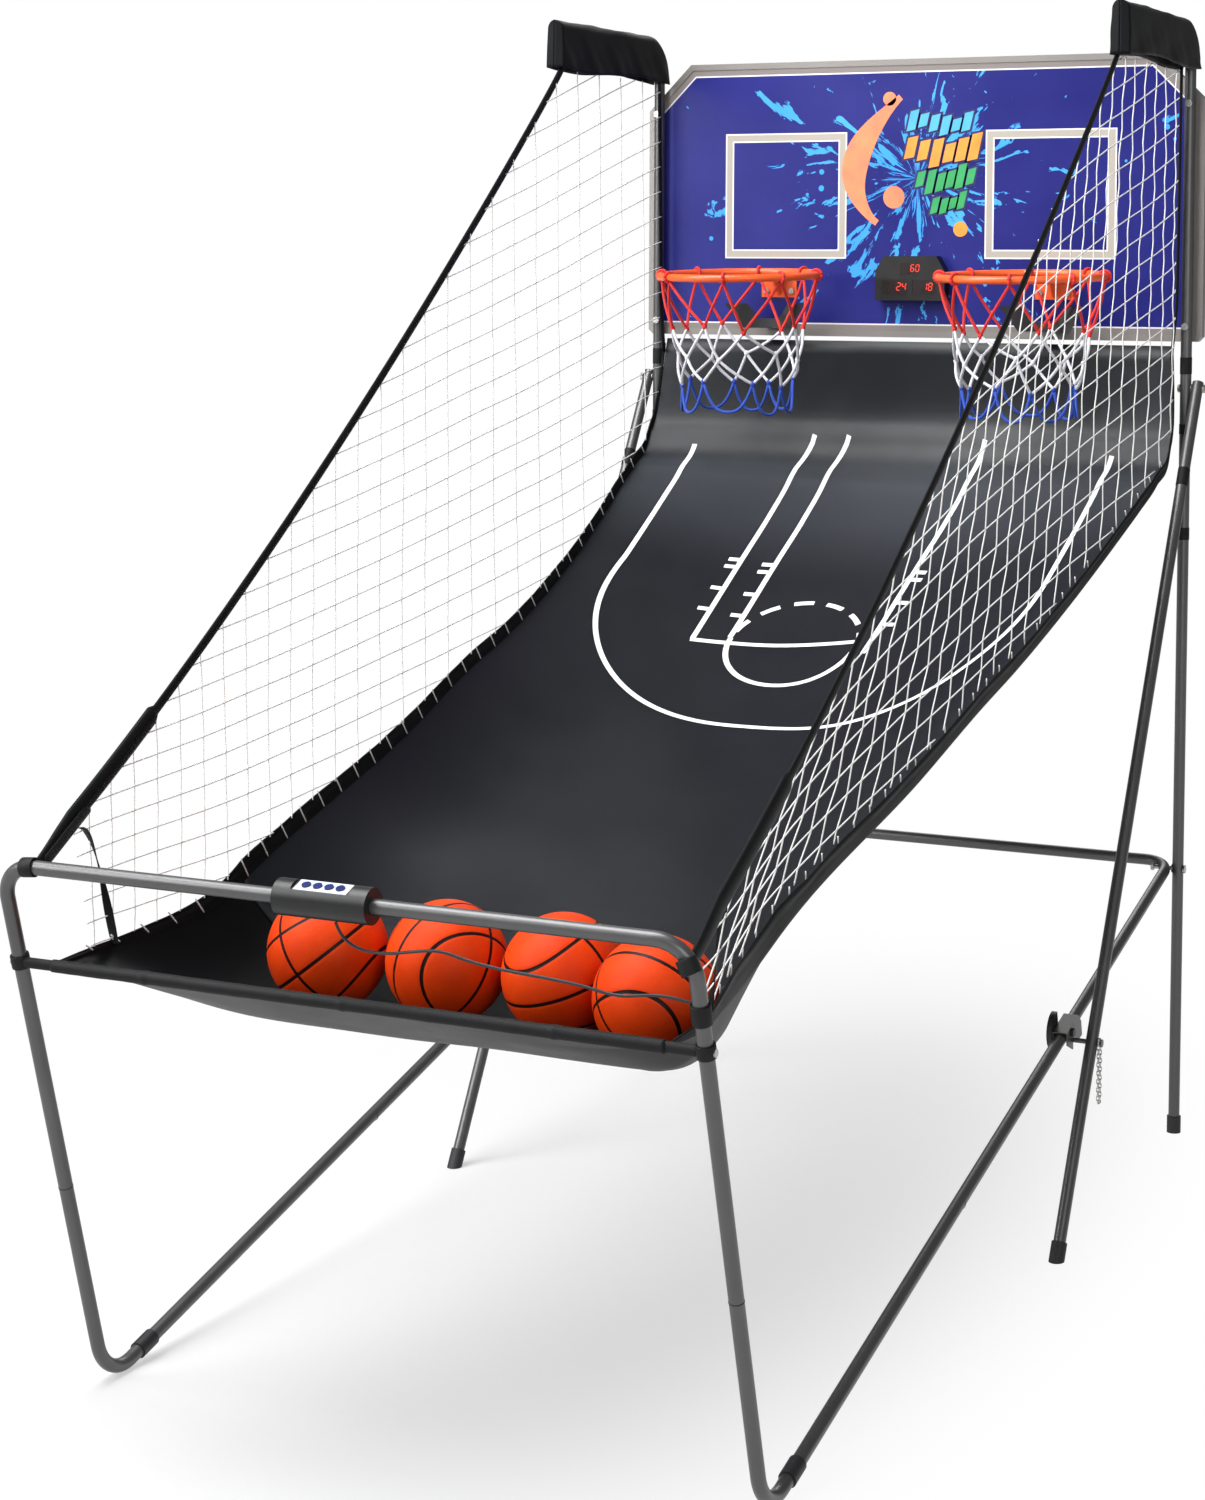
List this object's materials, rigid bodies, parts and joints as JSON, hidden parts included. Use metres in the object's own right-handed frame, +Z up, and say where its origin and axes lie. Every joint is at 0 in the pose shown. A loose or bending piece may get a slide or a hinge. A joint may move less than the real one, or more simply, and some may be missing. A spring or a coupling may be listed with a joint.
{
  "type": "folding two-player basketball hoop machine",
  "caption": "Folding tube-frame basketball game: backboard with side-by-side hoops and a score display, netted sides, a cloth return ramp, and a ball trough behind a front bar with push buttons.",
  "frame": {"origin": "on the floor, at the centre of the machine's footprint", "axes": "+Z up, +Y from the player towards the backboard, +X to the player's right"},
  "size_m": [1.122, 2.15, 2.019],
  "materials": {
    "frame_paint": "satin",
    "cap_rubber": "matte",
    "clip_plastic": "matte",
    "bolt_zinc": "satin",
    "board_print": "satin",
    "board_trim": "satin",
    "rim_paint": "gloss",
    "hoop_net_cord": "matte",
    "sensor_plastic": "matte",
    "display_plastic": "satin",
    "circuit_board": "satin",
    "sleeve_cloth": "matte",
    "net_mesh": "matte",
    "ramp_cloth": "matte",
    "rod_steel": "satin",
    "pad_plastic": "satin",
    "button_plastic": "gloss",
    "lock_zinc": "satin",
    "knob_plastic": "matte",
    "ball_rubber": "matte",
    "cable_jacket": "satin",
    "chain_steel": "polished"
  },
  "bodies": {
    "rear_frame": {"pole_lower_left": "frame_paint", "pole_lower_right": "frame_paint", "pole_middle_left": "frame_paint", "pole_middle_right": "frame_paint", "pole_top_left": "frame_paint", "pole_top_right": "frame_paint", "pole_feet": "cap_rubber", "backboard_panel": "board_print", "backboard_frame": "board_trim", "board_bolts": "bolt_zinc", "rim_left": "rim_paint", "rim_right": "rim_paint", "rim_bracket_left": "rim_paint", "rim_bracket_right": "rim_paint", "hoop_net_left": "hoop_net_cord", "hoop_net_right": "hoop_net_cord", "score_sensor_left": "sensor_plastic", "score_sensor_right": "sensor_plastic", "display_case": "display_plastic", "display_circuit": "circuit_board", "arm_sleeves": "sleeve_cloth", "side_net_left": "net_mesh", "side_net_right": "net_mesh", "ramp_sheet": "ramp_cloth", "pivot_bolts": "bolt_zinc"},
    "front_frame": {"front_corner_left": "frame_paint", "front_corner_right": "frame_paint", "front_leg_left": "frame_paint", "front_leg_right": "frame_paint", "foot_tube_left": "frame_paint", "foot_tube_right": "frame_paint", "foot_clips": "clip_plastic", "side_tube_left": "frame_paint", "side_tube_right": "frame_paint", "rear_loop_left": "frame_paint", "rear_loop_right": "frame_paint", "ball_trough": "ramp_cloth", "trough_rod": "rod_steel", "control_pad": "pad_plastic", "front_screws": "bolt_zinc", "lock_brackets": "lock_zinc", "control_cable": "cable_jacket"},
    "prop_left": {"prop_upper_left": "frame_paint", "prop_lower_left": "frame_paint", "prop_foot_left": "cap_rubber"},
    "prop_right": {"prop_upper_right": "frame_paint", "prop_lower_right": "frame_paint", "prop_foot_right": "cap_rubber"},
    "chain_left": {"lock_chain_left": "chain_steel"},
    "chain_right": {"lock_chain_right": "chain_steel"},
    "knob_left": {"lock_knob_left": "knob_plastic"},
    "knob_right": {"lock_knob_right": "knob_plastic"},
    "push_button_1": {"button_1": "button_plastic"},
    "push_button_2": {"button_2": "button_plastic"},
    "push_button_3": {"button_3": "button_plastic"},
    "push_button_4": {"button_4": "button_plastic"},
    "loose_ball_1": {"ball_1": "ball_rubber"},
    "loose_ball_2": {"ball_2": "ball_rubber"},
    "loose_ball_3": {"ball_3": "ball_rubber"},
    "loose_ball_4": {"ball_4": "ball_rubber"}
  },
  "joints": [
    {"name": "frame_fold", "type": "hinge", "parent": "rear_frame", "child": "front_frame", "pos_m": [0, 1.04, 0.484], "axis": [-1, 0, 0], "range_deg": [0, 75]},
    {"name": "prop_left_fold", "type": "hinge", "parent": "rear_frame", "child": "prop_left", "pos_m": [-0.543, 1.04, 1.354], "axis": [1, 0, 0], "range_deg": [0, 28]},
    {"name": "prop_right_fold", "type": "hinge", "parent": "rear_frame", "child": "prop_right", "pos_m": [0.543, 1.04, 1.354], "axis": [1, 0, 0], "range_deg": [0, 28]},
    {"name": "chain_left_swing", "type": "hinge", "parent": "prop_left", "child": "chain_left", "pos_m": [-0.556, 0.44124, 0.30925], "axis": [1, 0, 0], "range_deg": [-60, 60]},
    {"name": "chain_right_swing", "type": "hinge", "parent": "prop_right", "child": "chain_right", "pos_m": [0.556, 0.44124, 0.30925], "axis": [1, 0, 0], "range_deg": [-60, 60]},
    {"name": "knob_left_turn", "type": "hinge", "parent": "front_frame", "child": "knob_left", "pos_m": [-0.484, 0.43021, 0.32445], "axis": [1, 0, 0], "range_deg": [0, 90]},
    {"name": "knob_right_turn", "type": "hinge", "parent": "front_frame", "child": "knob_right", "pos_m": [0.484, 0.43021, 0.32445], "axis": [1, 0, 0], "range_deg": [0, 90]},
    {"name": "button_1_press", "type": "slide", "parent": "front_frame", "child": "push_button_1", "axis": [0, 0.342, -0.9397], "range_m": [0, 0.0015], "stiffness_N_per_m": 400, "springref_m": -0.001},
    {"name": "button_2_press", "type": "slide", "parent": "front_frame", "child": "push_button_2", "axis": [0, 0.342, -0.9397], "range_m": [0, 0.0015], "stiffness_N_per_m": 400, "springref_m": -0.001},
    {"name": "button_3_press", "type": "slide", "parent": "front_frame", "child": "push_button_3", "axis": [0, 0.342, -0.9397], "range_m": [0, 0.0015], "stiffness_N_per_m": 400, "springref_m": -0.001},
    {"name": "button_4_press", "type": "slide", "parent": "front_frame", "child": "push_button_4", "axis": [0, 0.342, -0.9397], "range_m": [0, 0.0015], "stiffness_N_per_m": 400, "springref_m": -0.001},
    {"name": "ball_1_lift", "type": "slide", "parent": "front_frame", "child": "loose_ball_1", "axis": [0, 0, 1], "range_m": [0, 0.3]},
    {"name": "ball_2_lift", "type": "slide", "parent": "front_frame", "child": "loose_ball_2", "axis": [0, 0, 1], "range_m": [0, 0.3]},
    {"name": "ball_3_lift", "type": "slide", "parent": "front_frame", "child": "loose_ball_3", "axis": [0, 0, 1], "range_m": [0, 0.3]},
    {"name": "ball_4_lift", "type": "slide", "parent": "front_frame", "child": "loose_ball_4", "axis": [0, 0, 1], "range_m": [0, 0.3]}
  ]
}
